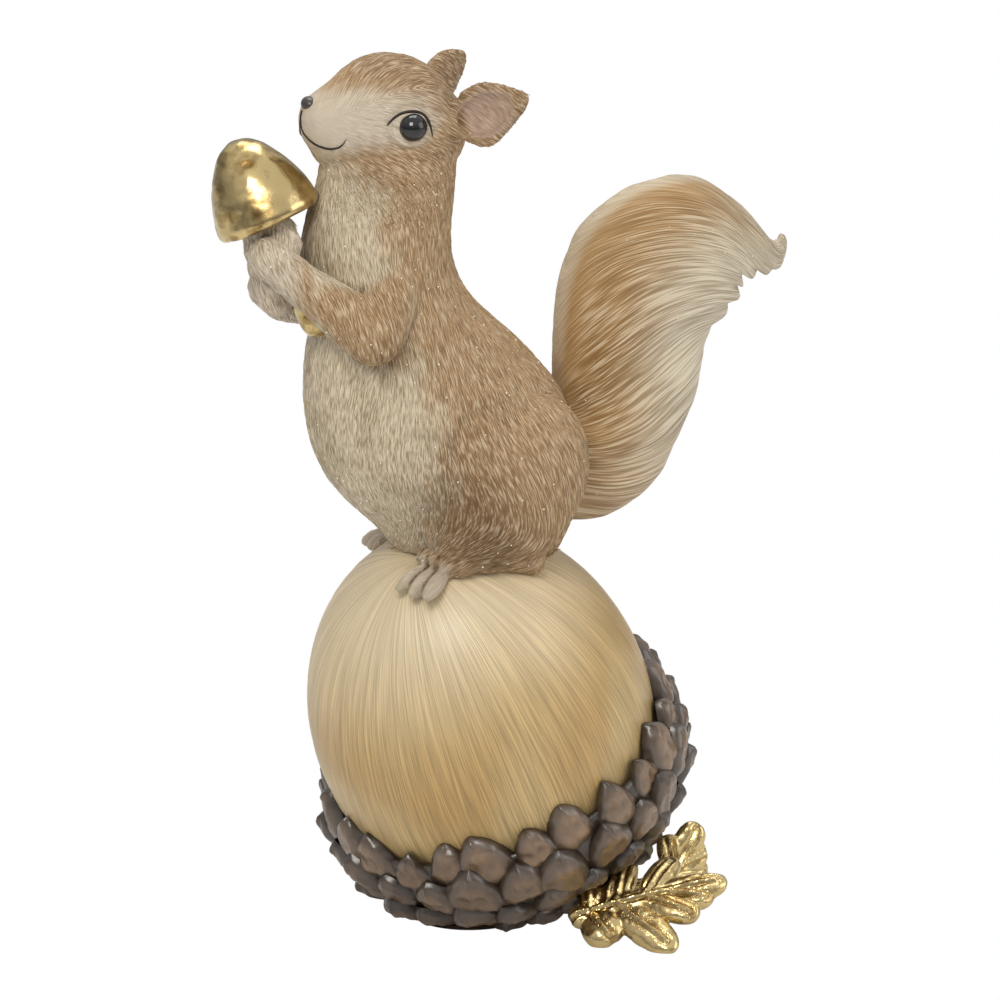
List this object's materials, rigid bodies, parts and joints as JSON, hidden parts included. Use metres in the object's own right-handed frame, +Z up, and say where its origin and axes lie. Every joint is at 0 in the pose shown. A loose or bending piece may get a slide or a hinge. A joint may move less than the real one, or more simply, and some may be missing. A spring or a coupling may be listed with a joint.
{
  "type": "squirrel figurine",
  "caption": "Resin squirrel sitting on a leaning acorn with a scaled cup, holding a gilded mushroom in its forepaws, with gilded oak leaves at the foot.",
  "frame": {"origin": "centre of the flat face of the felt disc that the figurine stands on", "axes": "+Z up, -X the way the squirrel faces, -Y its left side"},
  "size_m": [0.1507, 0.1085, 0.2256],
  "materials": {
    "felt": "pressed felt",
    "cup_paint": "dark brown paint over resin, semi-gloss on the scale crowns",
    "nut_paint": "cream and tan brushed paint over resin, satin",
    "fur_paint": "brown paint with pale dry-brushed hair strokes over resin, matt",
    "tail_paint": "golden brown paint fading to cream over resin, matt",
    "ear_paint": "brown paint with a pink inside over resin, matt",
    "paw_paint": "pale cream paint over resin, matt",
    "eye_gloss": "black gloss enamel",
    "gold_leaf": "gold leaf over resin, bright",
    "steel": "plain drawn steel"
  },
  "bodies": {
    "root": {"base_felt": "felt", "acorn_cup": "cup_paint", "acorn_nut": "nut_paint", "squirrel_body": "fur_paint", "squirrel_head": "fur_paint", "left_arm": "fur_paint", "right_arm": "fur_paint", "tail": "tail_paint", "left_ear": "ear_paint", "right_ear": "ear_paint", "left_foot": "paw_paint", "right_foot": "paw_paint", "left_eye": "eye_gloss", "right_eye": "eye_gloss", "mushroom_stem": "gold_leaf", "mushroom_cap": "gold_leaf", "front_leaf": "gold_leaf", "rear_leaf": "gold_leaf", "leaf_stalk": "gold_leaf", "seat_pins": "steel", "neck_pin": "steel", "tail_pin": "steel"}
  },
  "joints": []
}
